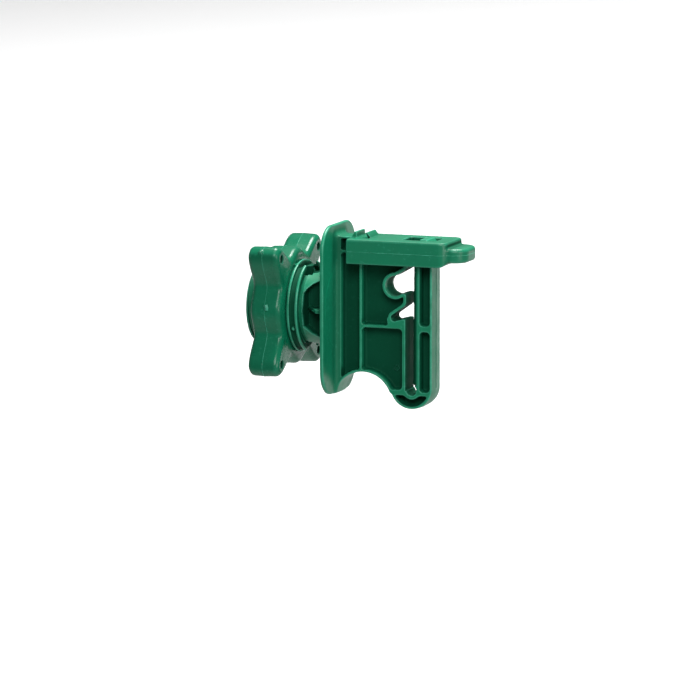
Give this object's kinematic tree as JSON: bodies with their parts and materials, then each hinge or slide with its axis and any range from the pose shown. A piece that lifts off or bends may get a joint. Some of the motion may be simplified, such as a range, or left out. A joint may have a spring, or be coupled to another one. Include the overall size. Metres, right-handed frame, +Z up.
{
  "type": "fence insulator",
  "caption": "Moulded insulator that clamps on a round post with a lobed screw knob and holds fence tape, rope or wire under a hinged latch.",
  "frame": {"origin": "where the axis of the clamped post crosses the axis of the clamp stem", "axes": "+Z up along the post, +X from the post towards the tape holder, +Y completes the right-handed frame"},
  "size_m": [0.0763, 0.0442, 0.0618],
  "materials": {
    "green_plastic": "semi-gloss moulded polypropylene"
  },
  "bodies": {
    "insulator": {"back_plate": "green_plastic", "clamp_stem": "green_plastic", "tape_holder": "green_plastic"},
    "pressure_ring": {"pressure_ring": "green_plastic"},
    "knob": {"clamp_knob": "green_plastic"},
    "latch": {"latch_cover": "green_plastic"}
  },
  "joints": [
    {"name": "ring_slide", "type": "slide", "parent": "insulator", "child": "pressure_ring", "axis": [1, 0, 0], "range_m": [-0.0046, 0.0031]},
    {"name": "knob_turn", "type": "hinge", "parent": "pressure_ring", "child": "knob", "pos_m": [-0.0119, 0, 0], "axis": [1, 0, 0], "range_deg": [-540, 360]},
    {"name": "latch_hinge", "type": "hinge", "parent": "insulator", "child": "latch", "pos_m": [0.0146, 0, 0.0228], "axis": [0, -1, 0], "range_deg": [0, 100]}
  ],
  "couplings": [
    {"joint": "ring_slide", "follows": "knob_turn", "m_per_rad": 0.00047746}
  ]
}
